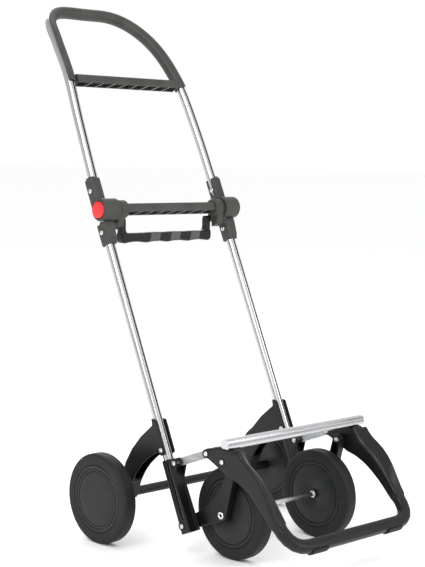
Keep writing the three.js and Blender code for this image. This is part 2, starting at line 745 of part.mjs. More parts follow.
function rearArm() {
  const p = offMast(rearPivot);
  const inner = rearArmOutline(cheek);
  const cut = plate(inner, halfTrack - channelHalf, halfTrack + channelHalf)
    .add(box(halfTrack - channelHalf, halfTrack + channelHalf, -60, 0, 150, 260))
    .add(boreForTube());
  return plate(rearArmOutline(0), sideInner, sideOuter)
    .subtract(cut)
    .add(rod(12, sideInner, sideOuter, rearAxle.y, rearAxle.z, 24))
    .subtract(rod(rearTubeDiameter / 2 + seatGap, sideInner - 5, sideOuter + 5, rearAxle.y, rearAxle.z, 24))
    .subtract(pinHole(p.y, p.z));
}

function boreForTube() {
  const clear = channelHalf;
  const geometry = new THREE.BoxGeometry(2 * clear, 2 * (tubeRadius + 1.2), 160);
  geometry.translate(halfTrack, 0, rearPivot.s);
  geometry.rotateX(-lean);
  geometry.translate(0, mastFootY, 0);
  return solidOf(geometry);
}
addPair(cart, 'rear_arm', rearArm(), blackPlastic);

const rearTubeHalf = rearWheelX - wheelWidth / 2 - 2;
function tubeAcross(outer, inner, half, place) {
  const profile = [[inner, -half], [outer, -half], [outer, half], [inner, half], [inner, -half]];
  return turned(profile, place.y, place.z, 20);
}
add(
  cart,
  'rear_axle_tube',
  tubeAcross(rearTubeDiameter / 2, axleDiameter / 2 + 1.5, rearTubeHalf, rearAxle),
  blackPlastic,
);
const rearRodHalf = rearWheelX + wheelWidth / 2 - 5;
const rearAxleRod = rod(axleDiameter / 2, -rearRodHalf, rearRodHalf, rearAxle.y, rearAxle.z, 16);
add(cart, 'rear_axle', rearAxleRod, zincSteel);

// ---------- main axle with its nuts ----------
function mainAxleRod() {
  const head = armOuter + seatGap;
  const half = [[0, -head - 3], [6.5, -head - 3], [6.5, -head], [axleDiameter / 2, -head]];
  const otherHalf = half.map(([radius, x]) => [radius, -x]).reverse();
  return turned([...half, ...otherHalf], mainAxle.y, mainAxle.z, 16);
}
add(cart, 'main_axle', mainAxleRod(), zincSteel);

function axleNut() {
  const outer = mainWheelX - wheelWidth / 2 - seatGap;
  const inner = axleDiameter / 2 + seatGap;
  return turned([[inner, outer - 4], [6.5, outer - 4], [6.5, outer], [inner, outer], [inner, outer - 4]],
    mainAxle.y, mainAxle.z, 12);
}
addPair(cart, 'axle_nut', axleNut(), zincSteel);

// ---------- wheels ----------
const wheelSides = 32;

function tyre(x, place) {
  const [r, w, shoulder] = [wheelDiameter / 2, wheelWidth / 2, 5];
  const inner = tyreInnerDiameter / 2;
  return turned([
    [inner, x - w], [r - shoulder, x - w], [r - 1.5, x - w + 1.5], [r, x - w + shoulder],
    [r, x + w - shoulder], [r - 1.5, x + w - 1.5], [r - shoulder, x + w], [inner, x + w], [inner, x - w],
  ], place.y, place.z, wheelSides);
}

function wheelHub(x, place) {
  const bore = axleDiameter / 2 + 0.4;
  const [w, rim] = [wheelWidth / 2 - hubSink, tyreInnerDiameter / 2 - 0.5];
  return turned(
    [[bore, x - w], [rim, x - w], [rim, x + w], [bore, x + w], [bore, x - w]],
    place.y,
    place.z,
    wheelSides,
  );
}
addPair(cart, 'main_tyre', tyre(mainWheelX, mainAxle), tyreRubber);
addPair(cart, 'main_hub', wheelHub(mainWheelX, mainAxle), wheelPlastic);
addPair(cart, 'rear_tyre', tyre(rearWheelX, rearAxle), tyreRubber);
const rearHubFace = rearWheelX + wheelWidth / 2 - hubSink;
const capFloor = rearHubFace - capThick - seatGap;
const capSeat = rod(capRadius + seatGap, capFloor, rearHubFace + 1, rearAxle.y, rearAxle.z, 32);
addPair(cart, 'rear_hub', wheelHub(rearWheelX, rearAxle).subtract(capSeat), wheelPlastic);
const cap = rod(capRadius, rearHubFace - capThick, rearHubFace, rearAxle.y, rearAxle.z, wheelSides);
addPair(cart, 'rear_cap', cap, wheelPlastic);

// the origin is on the floor under the middle of the cart
const middle = new THREE.Box3().setFromObject(cart, true).getCenter(new THREE.Vector3());
cart.position.y = -middle.y;
cart.updateMatrixWorld(true);

export default cart;
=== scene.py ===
"""Folding platform cart: finished surfaces around the cart's frame, laid out as an add-on."""
import math

import bmesh
import bpy
from mathutils import Matrix, Vector


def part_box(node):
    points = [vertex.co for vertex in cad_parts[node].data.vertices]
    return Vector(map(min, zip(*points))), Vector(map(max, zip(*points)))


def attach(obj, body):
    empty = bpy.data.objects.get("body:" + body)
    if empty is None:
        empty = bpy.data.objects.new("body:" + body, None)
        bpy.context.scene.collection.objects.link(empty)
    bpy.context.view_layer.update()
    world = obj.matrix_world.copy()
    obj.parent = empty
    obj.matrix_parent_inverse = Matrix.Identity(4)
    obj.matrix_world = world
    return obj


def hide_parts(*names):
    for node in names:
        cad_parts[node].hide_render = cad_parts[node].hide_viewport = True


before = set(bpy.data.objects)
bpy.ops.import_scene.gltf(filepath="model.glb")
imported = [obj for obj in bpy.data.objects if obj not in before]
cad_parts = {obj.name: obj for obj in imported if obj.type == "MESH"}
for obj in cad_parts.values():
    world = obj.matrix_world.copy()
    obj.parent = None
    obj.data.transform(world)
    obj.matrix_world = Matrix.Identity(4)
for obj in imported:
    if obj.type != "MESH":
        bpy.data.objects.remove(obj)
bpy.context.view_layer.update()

bl_info = {
    "name": "Folding platform cart",
    "version": (1, 0, 0),
    "blender": (4, 5, 0),
    "location": "3D View > Sidebar > Cart",
    "description": "Builds the folding cart's tubes, mouldings, wheels and studio",
    "category": "Object",
}

MM = 0.001
LEAN = math.radians(24.4)                # the mast leans back by this
MAST_FOOT_Y = -100.2

# places in millimetres as (y, z), before the shift into the row
MAIN_AXLE = (-149.0, 82.5)
REAR_AXLE = (81.3, 82.5)
STAND_PIN = (-174.2, 184.6)
TAIL_PIN = (-134.2, 192.6)
PLATFORM_BAR = (-188.5, 219.0)

# places on the mast as (v, s): behind the tube axis, and up along it
FOLD_AXIS = (-16.3, 653.7)
CROSSBAR = (3, 930)
ARM_PIVOT = (0, 58)
LINK_PIVOT = (-24.2, 166.7)
REAR_PIVOT = (0, 197)
LOWER_RIVET = (0, 614.7)
UPPER_RIVET = (0, 697.7)
TUBE_FOOT, TUBE_TOP = 70.2, 627.8
GRIP_START = 921.5                       # the grip's cover begins here, up along the mast

# distances from the middle of the cart
HALF_TRACK = 156.7
HEAD_SEAT = 170.0                        # outer rivet heads sit on the side faces
MAIN_WHEEL_X = 110.2
REAR_WHEEL_X = 222.2
HINGE_BAR_HALF = 112.4
CROSSBAR_HALF = 129.6
PLATFORM_HALF = 177.9

TUBE_RADIUS = 9.25


def box_middle(node):
    low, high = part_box(node)
    return (Vector(low) + Vector(high)) / 2


SHIFT_Y = box_middle("right_main_hub").y / MM - MAIN_AXLE[0]
TO_ROW = Matrix.Scale(MM, 4) @ Matrix.Translation((0, SHIFT_Y, 0))
MAST = Matrix.Translation((0, MAST_FOOT_Y, 0)) @ Matrix.Rotation(-LEAN, 4, "X")
MAST_TO_ROW = TO_ROW @ MAST


# ---------- materials ----------
def linear(hex_colour):
    """An sRGB hex value as a linear colour."""
    parts = [((hex_colour >> shift) & 255) / 255 for shift in (16, 8, 0)]
    return tuple(p / 12.92 if p <= 0.04045 else ((p + 0.055) / 1.055) ** 2.4 for p in parts)


# a mix node's colour sockets share their names with its other kinds, so they go by number
MIX_A, MIX_B, MIX_RESULT = 6, 7, 2


def add_node(tree, kind, values=None, links=None, **settings):
    """Adds a node with its settings, socket values and incoming links."""
    node = tree.nodes.new(kind)
    for key, value in settings.items():
        setattr(node, key, value)
    for key, value in (values or {}).items():
        node.inputs[key].default_value = value
    for key, source in (links or {}).items():
        tree.links.new(source, node.inputs[key])
    return node


def per_metre(millimetres):
    """Texture scale that repeats about once in this many millimetres."""
    return 1.0 / (millimetres * MM)


def new_material(name):
    material = bpy.data.materials.new(name)
    material.use_nodes = True
    tree = material.node_tree
    tree.nodes.clear()
    coords = add_node(tree, "ShaderNodeTexCoord")
    return material, tree, coords.outputs["Object"]


def shaded(tree, shader):
    add_node(tree, "ShaderNodeOutputMaterial", links={"Surface": shader.outputs[0]})


def colour_between(tree, factor, colour, depth):
    """Two tones of one colour, picked by a noise factor; depth is how dark the darker one is."""
    low, high = 0.35, 0.65
    ramp = add_node(tree, "ShaderNodeValToRGB", links={"Fac": factor})
    ramp.color_ramp.elements[0].position = low
    ramp.color_ramp.elements[0].color = (*(depth * part for part in colour), 1)
    ramp.color_ramp.elements[1].position = high
    ramp.color_ramp.elements[1].color = (*colour, 1)
    return ramp.outputs["Color"]


def moulded(name, colour, rough, grain_mm, depth_mm, coat=0.0, rub=0x6a6b6d, rub_amount=0.35):
    """A moulded polymer: spark-eroded grain, slow clouding of tone and sheen, rubbed high edges."""
    material, tree, place = new_material(name)
    cloud_mm, scuff_mm, tone_depth = 38, 6, 0.72
    cloud = add_node(
        tree, "ShaderNodeTexNoise", {"Scale": per_metre(cloud_mm), "Detail": 3.0}, {"Vector": place},
    )
    grain = add_node(
        tree, "ShaderNodeTexNoise",
        {"Scale": per_metre(grain_mm), "Detail": 4.0, "Roughness": 0.65},
        {"Vector": place},
    )
    tone = colour_between(tree, cloud.outputs["Fac"], colour, tone_depth)
    edge = add_node(tree, "ShaderNodeNewGeometry")
    high = add_node(
        tree, "ShaderNodeMapRange",
        {"From Min": 0.53, "From Max": 0.62, "To Min": 0.0, "To Max": rub_amount},
        {"Value": edge.outputs["Pointiness"]},
    )
    scuff = add_node(
        tree, "ShaderNodeTexNoise", {"Scale": per_metre(scuff_mm), "Detail": 5.0}, {"Vector": place},
    )
    worn = add_node(
        tree, "ShaderNodeMath", links={0: high.outputs["Result"], 1: scuff.outputs["Fac"]},
        operation="MULTIPLY",
    )
    rubbed = add_node(
        tree, "ShaderNodeMix", {MIX_B: (*linear(rub), 1)}, {"Factor": worn.outputs[0], MIX_A: tone},
        data_type="RGBA",
    )
    sheen = add_node(
        tree, "ShaderNodeMapRange",
        {"From Min": 0.3, "From Max": 0.7, "To Min": rough - 0.07, "To Max": rough + 0.07},
        {"Value": cloud.outputs["Fac"]},
    )
    bump = add_node(
        tree, "ShaderNodeBump", {"Strength": 0.55, "Distance": depth_mm * MM},
        {"Height": grain.outputs["Fac"]},
    )
    shader = add_node(
        tree, "ShaderNodeBsdfPrincipled", {"IOR": 1.38, "Coat Weight": coat, "Coat Roughness": 0.12},
        {
            "Base Color": rubbed.outputs[MIX_RESULT], "Roughness": sheen.outputs["Result"],
            "Normal": bump.outputs["Normal"],
        },
    )
    shaded(tree, shader)
    return material


def drawn_metal(name, colour, rough, turn, stretch, line_mm, depth_mm, tone_depth=0.8):
    """A drawn or ground metal: fine lines along one direction over a cloudy sheen."""
    material, tree, place = new_material(name)
    lined = add_node(
        tree, "ShaderNodeMapping", {"Rotation": turn, "Scale": stretch}, {"Vector": place},
        vector_type="TEXTURE",
    )
    lines = add_node(
        tree, "ShaderNodeTexNoise", {"Scale": per_metre(line_mm), "Detail": 5.0, "Roughness": 0.6},
        {"Vector": lined.outputs[0]},
    )
    cloud_mm = 55
    cloud = add_node(
        tree, "ShaderNodeTexNoise", {"Scale": per_metre(cloud_mm), "Detail": 2.0}, {"Vector": place},
    )
    tone = colour_between(tree, lines.outputs["Fac"], colour, tone_depth)
    blend = add_node(
        tree, "ShaderNodeMath", {1: 0.5}, {0: lines.outputs["Fac"], 2: cloud.outputs["Fac"]},
        operation="MULTIPLY_ADD",
    )
    sheen = add_node(
        tree, "ShaderNodeMapRange",
        {"From Min": 0.4, "From Max": 1.1, "To Min": rough - 0.06, "To Max": rough + 0.08},
        {"Value": blend.outputs[0]},
    )
    bump = add_node(
        tree, "ShaderNodeBump", {"Strength": 0.2, "Distance": depth_mm * MM},
        {"Height": lines.outputs["Fac"]},
    )
    shader = add_node(
        tree, "ShaderNodeBsdfPrincipled", {"Metallic": 1.0},
        {"Base Color": tone, "Roughness": sheen.outputs["Result"], "Normal": bump.outputs["Normal"]},
    )
    shaded(tree, shader)
    return material


MATERIALS = {}


def make_materials(colours):
    # glass-filled nylon, moulded: deep charcoal with a fine matt grain, 0.5 mm drawn at 0.9 to show
    MATERIALS["black_plastic"] = moulded("glass_filled_nylon", colours.lower_nylon, 0.4, 0.9, 0.05)
    # the same nylon as moulded for the upper parts: a warmer, lighter grey
    MATERIALS["upper_plastic"] = moulded(
        "warm_grey_nylon", colours.upper_nylon, 0.5, 0.9, 0.05, rub_amount=0.2,
    )
    # soft-touch nylon of the stand, duller than the rest
    MATERIALS["grip"] = moulded("soft_touch_nylon", colours.stand_nylon, 0.38, 1.1, 0.05, rub_amount=0.2)
    # soft elastomer pads: a lighter, duller grey than the nylon they sit on
    MATERIALS["pad"] = moulded("elastomer_pad", colours.pads, 0.68, 1.2, 0.05, rub=0x707173)
    # polypropylene wheel disc: cool grey-black with an even satin grain
    MATERIALS["wheel_plastic"] = moulded("polypropylene_disc", colours.wheel_discs, 0.48, 1.0, 0.05)
    # foamed tyre: matt, dusty, with a coarser skin
    MATERIALS["tyre_rubber"] = moulded("foamed_tyre", colours.tyres, 0.6, 1.5, 0.09, rub=0x5b5c5d)
    # ABS button: saturated red under a polished skin
    MATERIALS["red_plastic"] = moulded(
        "polished_abs", colours.button, 0.3, 2.4, 0.01, coat=0.5, rub=0xe85a5c, rub_amount=0.2,
    )
    # anodised drawn tube: bright and even, with faint hairlines along its length
    MATERIALS["tube"] = drawn_metal(
        "anodised_drawn_tube", colours.tubes, 0.22, (-LEAN, 0, 0), (1, 1, 60), 1.2, 0.001, tone_depth=0.97,
    )
    # polished extrusion of the platform bar, lines across the cart
    MATERIALS["aluminium"] = drawn_metal(
        "polished_extrusion", colours.platform, 0.2, (0, 0, 0), (60, 1, 1), 1.0, 0.006,
    )
    # pressed aluminium strip of the link bars: greyer, with coarse lines along the strip
    MATERIALS["link_strip"] = drawn_metal(
        "pressed_strip", colours.links, 0.3, (0, 0, 0), (1, 60, 4), 1.6, 0.02, tone_depth=0.6,
    )
    # zinc-plated steel: slightly blue, finely mottled
    MATERIALS["zinc_steel"] = drawn_metal(
        "zinc_plated_steel", colours.fasteners, 0.27, (0, 0, 0), (1.5, 1, 1), 1.6, 0.02,
    )
    # painted highlight: a light grey on the lower faces of the bars' ribs, standing in for the light they
    # catch from the floor
    MATERIALS["rib_edge"] = moulded("rib_painted_highlight", linear(0xc4c5c6), 0.3, 1.5, 0.01)
    # painted shade: a dark, matt colour on the floor of a tube's groove and on the cups inside the axle
    # sockets
    MATERIALS["groove"] = moulded("groove_painted_shade", linear(0x131110), 0.6, 1.4, 0.03)


# ---------- mesh helpers ----------
def settled(bm, name, body, finish, nodes=(), matrix=TO_ROW, crease=38, extra=()):
    """Turns a bmesh in millimetres into a finished piece that rides on a body."""
    bmesh.ops.transform(bm, matrix=matrix, verts=bm.verts)
    mesh = bpy.data.meshes.new(name)
    bm.to_mesh(mesh)
    bm.free()
    return placed(mesh, name, body, finish, nodes, crease, extra)


def placed(mesh, name, body, finish, nodes=(), crease=38, extra=()):
    piece = bpy.data.objects.new(name, mesh)
    bpy.context.collection.objects.link(piece)
    if mesh.materials:
        mesh.materials.clear()
    for key in (finish, *extra):
        mesh.materials.append(MATERIALS[key])
    mesh.shade_smooth()
    if crease:
        mesh.set_sharp_from_angle(angle=math.radians(crease))
    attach(piece, body)
    if nodes:
        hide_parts(*nodes)
    return piece


def turned(profile, y, z, steps):
    """A closed or pole-to-pole profile of (radius, x) spun about a line along X."""
    bm = bmesh.new()
    verts = [bm.verts.new((x, 0, max(radius, 0))) for radius, x in profile]
    edges = [bm.edges.new(pair) for pair in zip(verts, verts[1:])]
    bmesh.ops.spin(
        bm, geom=verts + edges, cent=(0, 0, 0), axis=(1, 0, 0), angle=2 * math.pi, steps=steps,
        use_merge=True,
    )
    bmesh.ops.remove_doubles(bm, verts=bm.verts, dist=1e-3)
    bmesh.ops.recalc_face_normals(bm, faces=bm.faces)
    bmesh.ops.translate(bm, vec=(0, y, z), verts=bm.verts)
    return bm


def other_side(bm):
    """Mirrors a whole bmesh from the right side to the left."""
    bmesh.ops.scale(bm, vec=(-1, 1, 1), verts=bm.verts)
    bmesh.ops.reverse_faces(bm, faces=bm.faces)
    return bm


def on_side(bm, side):
    """A bmesh made for the right side, mirrored if the piece is the left one."""
    return other_side(bm) if side == "left" else bm


def bar_of_size(size, place):
    """The matrix that turns a unit cube into a block of this size at this place."""
    return Matrix.Translation(place) @ Matrix.Diagonal((*size, 1))


def swept(section, frames, groove=None):
    """Extrudes a closed section of (a, b) from frame to frame; groove numbers the edges whose faces get
    painted shade.
    """
    bm = bmesh.new()
    ring = [bm.verts.new(frames[0] @ Vector((a, b, 0))) for a, b in section]
    edges = [bm.edges.new((ring[i - 1], ring[i])) for i in range(len(ring))]
    dark = {edges[i] for i in groove or ()}
    first = list(edges)
    for before, after in zip(frames, frames[1:]):
        step = after @ before.inverted()
        grown = bmesh.ops.extrude_edge_only(bm, edges=edges)["geom"]
        fresh = {g for g in grown if isinstance(g, bmesh.types.BMVert)}
        bmesh.ops.transform(bm, matrix=step, verts=list(fresh))
        out = [g for g in grown if isinstance(g, bmesh.types.BMEdge) and fresh.issuperset(g.verts)]
        ends = set(out)
        next_dark = set()
        # painted shade: faces along the slot's edges take the second, dark finish
        for edge in dark:
            for face in edge.link_faces:
                match = ends.intersection(face.edges)
                if match:
                    face.material_index = 1
                    next_dark.update(match)
        dark = next_dark
        edges = out
    bmesh.ops.holes_fill(bm, edges=first, sides=0)
    bmesh.ops.holes_fill(bm, edges=edges, sides=0)
    bmesh.ops.recalc_face_normals(bm, faces=bm.faces)
    return bm


def copied(node):
    """A merged copy of a frame node as a bmesh, still in metres."""
    bm = bmesh.new()
    bm.from_mesh(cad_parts[node].data)
    bmesh.ops.remove_doubles(bm, verts=bm.verts, dist=1e-6)
    return bm


def rounded(node, voxel, rounds, prepare=None):
    """A frame node with its edges softened as a mould would: fine remesh, then smoothing."""
    bm = copied(node)
    if prepare:
        prepare(bm)
    mesh = bpy.data.meshes.new(node + "_rough")
    bm.to_mesh(mesh)
    bm.free()
    rough = bpy.data.objects.new(node + "_rough", mesh)
    bpy.context.collection.objects.link(rough)
    remesh = rough.modifiers.new("Remesh", "REMESH")
    remesh.mode = "VOXEL"
    remesh.voxel_size = voxel * MM
    smooth = rough.modifiers.new("Smooth", "SMOOTH")
    smooth.factor = 0.5
    smooth.iterations = rounds
    bpy.context.view_layer.update()
    ready = rough.evaluated_get(bpy.context.evaluated_depsgraph_get())
    result = bpy.data.meshes.new_from_object(ready)
    bpy.data.objects.remove(rough)
    bpy.data.meshes.remove(mesh)
    return result


def rounded_pair(node, body, voxel, rounds, finish="black_plastic"):
    """Rounds the right-hand node and mirrors it for the left."""
    right = rounded("right_" + node, voxel, rounds)
    bm = bmesh.new()
    bm.from_mesh(right)
    other_side(bm)
    left = bpy.data.meshes.new("left_" + node)
    bm.to_mesh(left)
    bm.free()
    for side, mesh in (("left", left), ("right", right)):
        placed(mesh, f"{side}_{node}_moulding", body, finish, [f"{side}_{node}"], crease=0)


def bevel_live(piece, width_mm, segments=2, angle=35):
    bevel = piece.modifiers.new("Bevel", "BEVEL")
    bevel.width = width_mm * MM
    bevel.segments = segments
    bevel.limit_method = "ANGLE"
    bevel.angle_limit = math.radians(angle)
    bevel.harden_normals = True
    return piece


# ---------- paths ----------
def catmull(points, count):
    """Centripetal Catmull-Rom curve through the points, as count + 1 places evenly along it."""
    points = [Vector(p) for p in points]
    points = [2 * points[0] - points[1], *points, 2 * points[-1] - points[-2]]
    dense = []
    samples = 60                             # between two neighbouring points
    for i in range(1, len(points) - 2):
        a, b, c, d = points[i - 1:i + 3]
        t0 = 0.0
        t1 = (b - a).length ** 0.5
        t2 = t1 + (c - b).length ** 0.5
        t3 = t2 + (d - c).length ** 0.5
        for k in range(samples):
            t = t1 + (t2 - t1) * k / samples
            ab = a.lerp(b, (t - t0) / (t1 - t0))
            bc = b.lerp(c, (t - t1) / (t2 - t1))
            cd = c.lerp(d, (t - t2) / (t3 - t2))
            abc = ab.lerp(bc, (t - t0) / (t2 - t0))
            bcd = bc.lerp(cd, (t - t1) / (t3 - t1))
            dense.append(abc.lerp(bcd, (t - t1) / (t2 - t1)))
    dense.append(points[-2])
    lengths = [0.0]
    for a, b in zip(dense, dense[1:]):
        lengths.append(lengths[-1] + (b - a).length)
    even = []
    at = 0
    for k in range(count + 1):
        want = lengths[-1] * k / count
        while at < len(lengths) - 2 and lengths[at + 1] < want:
            at += 1
        part = (want - lengths[at]) / max(lengths[at + 1] - lengths[at], 1e-9)
        even.append(dense[at].lerp(dense[at + 1], part))
    return even


def frames_along(points, side):
    """One frame for each point: X lies across the path in its plane, Y lies along side, Z along it."""
    frames = []
    last = len(points) - 1
    for i, point in enumerate(points):
        along = (points[min(i + 1, last)] - points[max(i - 1, 0)]).normalized()
        up = (side - along * side.dot(along)).normalized()
        across = up.cross(along)
        turn = Matrix((across, up, along)).transposed().to_4x4()
        frames.append(Matrix.Translation(point) @ turn)
    return frames


# the handle loop's axis as (x, v, s), from the right sleeve to the top
HANDLE_RIGHT = [
    (155.5, 0, 664), (149.5, 0, 840), (141.7, 4, 938), (128.4, 26, 1028), (105.4, 53, 1087),
    (70, 65.5, 1112),
]
HANDLE_TOP = (0, 66.5, 1115)


def handle_points(count):
    left = [(-x, v, s) for x, v, s in reversed(HANDLE_RIGHT)]
    return catmull([*HANDLE_RIGHT, HANDLE_TOP, *left], count)


# ---------- tubes ----------
def tube_section(sizes):
    """Round tube section with a slot on the front; the indexes name the slot's edges, whose faces get
    painted shade.
    """
    count = 60
    gap = sizes.groove_width / MM / 2 / TUBE_RADIUS
    span = 2 * math.pi - 2 * gap
    start = -math.pi / 2 + gap
    section = [
        (TUBE_RADIUS * math.cos(start + span * i / count), TUBE_RADIUS * math.sin(start + span * i / count))
        for i in range(count + 1)
    ]
    floor = -(TUBE_RADIUS - sizes.groove_depth / MM)
    section += [(section[-1][0], floor), (section[0][0], floor)]
    total = len(section)
    return section, [total - 2, total - 1, 0]


def make_mast_tubes(sizes):
    section, slot_edges = tube_section(sizes)
    for side, sign in (("left", -1), ("right", 1)):
        low, high = (Vector((sign * HALF_TRACK, 0, s)) for s in (TUBE_FOOT, TUBE_TOP))
        points = [low.lerp(high, i / 6) for i in range(7)]
        bm = swept(section, frames_along(points, Vector((0, 1, 0))), slot_edges)
        name = f"{side}_lower_tube"
        # the second finish is the groove's painted shade
        settled(bm, name + "_drawn", "mast", "tube", [name], MAST_TO_ROW, extra=["groove"])


def cover_section():
    """A shell round the tube, open on the outer side of the loop, with rounded lips."""
    outer, inner = 12.45, 10.7
    front_lip, back_lip = math.radians(47), math.radians(87)
    steps = 40
    arc = [back_lip + (2 * math.pi - front_lip - back_lip) * i / steps for i in range(steps + 1)]
    middle, round_by = (outer + inner) / 2, (outer - inner) / 2

    def at(radius, angle):
        return radius * math.cos(angle), radius * math.sin(angle)

    def lip(angle, way):
        return [
            at(
                middle + way * round_by * math.cos(math.pi * turn),
                angle + way * round_by * math.sin(math.pi * turn) / middle,
            )
            for turn in (0.25, 0.5, 0.75)
        ]

    outside = [at(outer, a) for a in arc]
    inside = [at(inner, a) for a in reversed(arc)]
    return outside + lip(arc[-1], 1) + inside + lip(arc[0], -1)


def make_handle_loop(sizes):
    section, slot_edges = tube_section(sizes)
    backward = Vector((0, 1, 0))
    bm = swept(section, frames_along(handle_points(96), backward), slot_edges)
    settled(
        bm, "handle_tube_drawn", "handle", "tube", ["handle_tube"], MAST_TO_ROW,
        extra=["groove"],
    )
    grip = [point for point in handle_points(192) if point.z > GRIP_START]
    bm = swept(cover_section(), frames_along(grip, backward))
    settled(
        bm, "handle_cover_moulding", "handle", "upper_plastic", ["handle_cover"],
        MAST_TO_ROW, crease=50,
    )


# ---------- bars ----------
def ribbed_bar(half, v, s, ribs):
    """A bar with a rounded face, open underneath, with slanting ribs across the opening."""
    depth, height, wall = 23.0, 18.0, 2.4
    top_round, low_round = 4.6, 3.0
    rib_thick, rib_turn = 1.7, math.radians(62)
    bm = bmesh.new()
    bmesh.ops.create_cube(bm, size=1.0, matrix=Matrix.Diagonal((2 * half, depth, height, 1)))
    lengthwise = [e for e in bm.edges if abs(e.verts[0].co.x - e.verts[1].co.x) > 1]
    top = [e for e in lengthwise if e.verts[0].co.z > 0]
    low = [e for e in lengthwise if e.verts[0].co.z < 0]
    for edges, offset, segments in ((top, top_round, 6), (low, low_round, 4)):
        bmesh.ops.bevel(
            bm, geom=edges, offset=offset, segments=segments, affect="EDGES", profile=0.5, material=-1,
        )
    floor = [f for f in bm.faces if f.normal.z < -0.99]
    ends = [f for f in bm.faces if abs(f.normal.x) > 0.99]
    bmesh.ops.delete(bm, geom=floor + ends, context="FACES")
    bmesh.ops.solidify(bm, geom=bm.faces[:], thickness=wall)
    pitch = 2 * half / (ribs + 1)
    rib_size = ((depth - wall) / math.sin(rib_turn), rib_thick, height - wall, 1)
    for i in range(ribs):
        place = Matrix.Translation((-half + (i + 1) * pitch, 0, -1.1)) @ Matrix.Rotation(-rib_turn, 4, "Z")
        rib = bmesh.ops.create_cube(bm, size=1.0, matrix=place @ Matrix.Diagonal(rib_size))
        # painted highlight: the ribs' lower faces take the light grey finish
        for face in {f for v in rib["verts"] for f in v.link_faces}:
            if face.calc_center_median().z < -height / 2 + 2:
                face.material_index = 1
    for sign in (-1, 1):
        end_size = (2.4, depth - 3, height - 1.6)
        bmesh.ops.create_cube(bm, size=1.0, matrix=bar_of_size(end_size, (sign * (half - 1.3), 0, 0)))
    bmesh.ops.recalc_face_normals(bm, faces=bm.faces)
    bmesh.ops.translate(bm, vec=(0, v, s), verts=bm.verts)
    return bm


def make_bars(sizes):
    for name, body, half, place, ribs in (
        ("hinge_bar", "mast", HINGE_BAR_HALF, FOLD_AXIS, 7),
        ("handle_crossbar", "handle", CROSSBAR_HALF, CROSSBAR, 8),
    ):
        bar = settled(
            ribbed_bar(half, *place, ribs), name + "_moulding", body, "upper_plastic", [name],
            MAST_TO_ROW, extra=["rib_edge"],
        )
        bevel_live(bar, sizes.edge_round / MM)


# ---------- fold joints ----------
def make_fold_joints(sizes):
    voxel, rounds = sizes.voxel / MM, sizes.smoothing
    rounded_pair("upper_sleeve", "handle", voxel, rounds, "upper_plastic")
    rounded_pair("lower_sleeve", "mast", voxel, rounds, "upper_plastic")
    rib_size, rib_apart, rib_v, rib_s = (1.9, 1.3, 21), 6.3, -12.2, 603.5
    for side, sign in (("left", -1), ("right", 1)):
        bm = bmesh.new()
        for x in (HALF_TRACK - rib_apart, HALF_TRACK, HALF_TRACK + rib_apart):
            bmesh.ops.create_cube(bm, size=1.0, matrix=bar_of_size(rib_size, (sign * x, rib_v, rib_s)))
        bmesh.ops.bevel(
            bm, geom=bm.edges[:], offset=0.5, segments=2, affect="EDGES", profile=0.5, material=-1,
        )
        settled(
            bm, f"{side}_lower_sleeve_ribs", "mast", "upper_plastic",
            matrix=MAST_TO_ROW,
        )
    for name, body, finish, slot, face, sign in (
        ("release_button", "release_button", "red_plastic", "red_plastic", 178.0, -1),
        ("hinge_cap", "handle", "upper_plastic", "black_plastic", 175.5, 1),
    ):
        profile = [(radius, sign * x) for radius, x in disc_profile(face)]
        settled(turned(profile, *mast_yz(*FOLD_AXIS), 72), name + "_turned", body, finish, [name])


def disc_profile(face):
    """A slightly domed disc with a thin edge line and a stem behind it; face is its outermost x."""
    back, stem_end, stem = face - 7.6, face - 25.5, 3.1
    crown_radius, sag = 14.65, 0.35
    crown = [
        (radius, face - sag + sag * math.cos(radius / crown_radius * math.pi / 2))
        for radius in (0, 3, 6, 9, 12)
    ]
    edge = [(crown_radius, face - sag), (15.2, face - 0.8), (15.5, face - 1.7), (15.5, back)]
    return crown + edge + [(stem, back), (stem, stem_end), (0, stem_end)]


def make_carry_handle(sizes):
    mesh = rounded("carry_handle", 0.9, 5)
    grip = placed(mesh, "carry_handle_moulding", "carry_handle", "black_plastic", ["carry_handle"], crease=0)
    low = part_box("carry_handle")[0]
    top = low[2] + sizes.pad_height
    # the pads are slices of the grip, cut by two slanting planes and one level one
    lean_x, lean_z = 0.97, 0.24
    for i, x in enumerate((-36, 16, 68)):
        bm = bmesh.new()
        bm.from_mesh(grip.data)
        for point, normal in (
            ((0, 0, top), (0, 0, 1)),
            (((x - 11) * MM, 0, low[2]), (-lean_x, 0, lean_z)),
            (((x + 13) * MM, 0, low[2]), (lean_x, 0, -lean_z)),
        ):
            bmesh.ops.bisect_plane(
                bm, geom=bm.verts[:] + bm.edges[:] + bm.faces[:], dist=1e-6, plane_co=point,
                plane_no=normal, clear_outer=True,
            )
        bm.normal_update()
        for vert in bm.verts:
            vert.co += vert.normal * sizes.pad_proud
        bmesh.ops.recalc_face_normals(bm, faces=bm.faces)
        name = f"carry_pad_{i + 1}"
        pad = bpy.data.meshes.new(name)
        bm.to_mesh(pad)
        bm.free()
        piece = placed(pad, name, "carry_handle", "pad", crease=0)
        wall = piece.modifiers.new("Solidify", "SOLIDIFY")
        wall.thickness = 0.9 * MM
        wall.offset = -1


# ---------- lower mouldings ----------
def make_brackets(sizes):
    rounded_pair("lower_bracket", "mast", sizes.voxel / MM, sizes.smoothing)


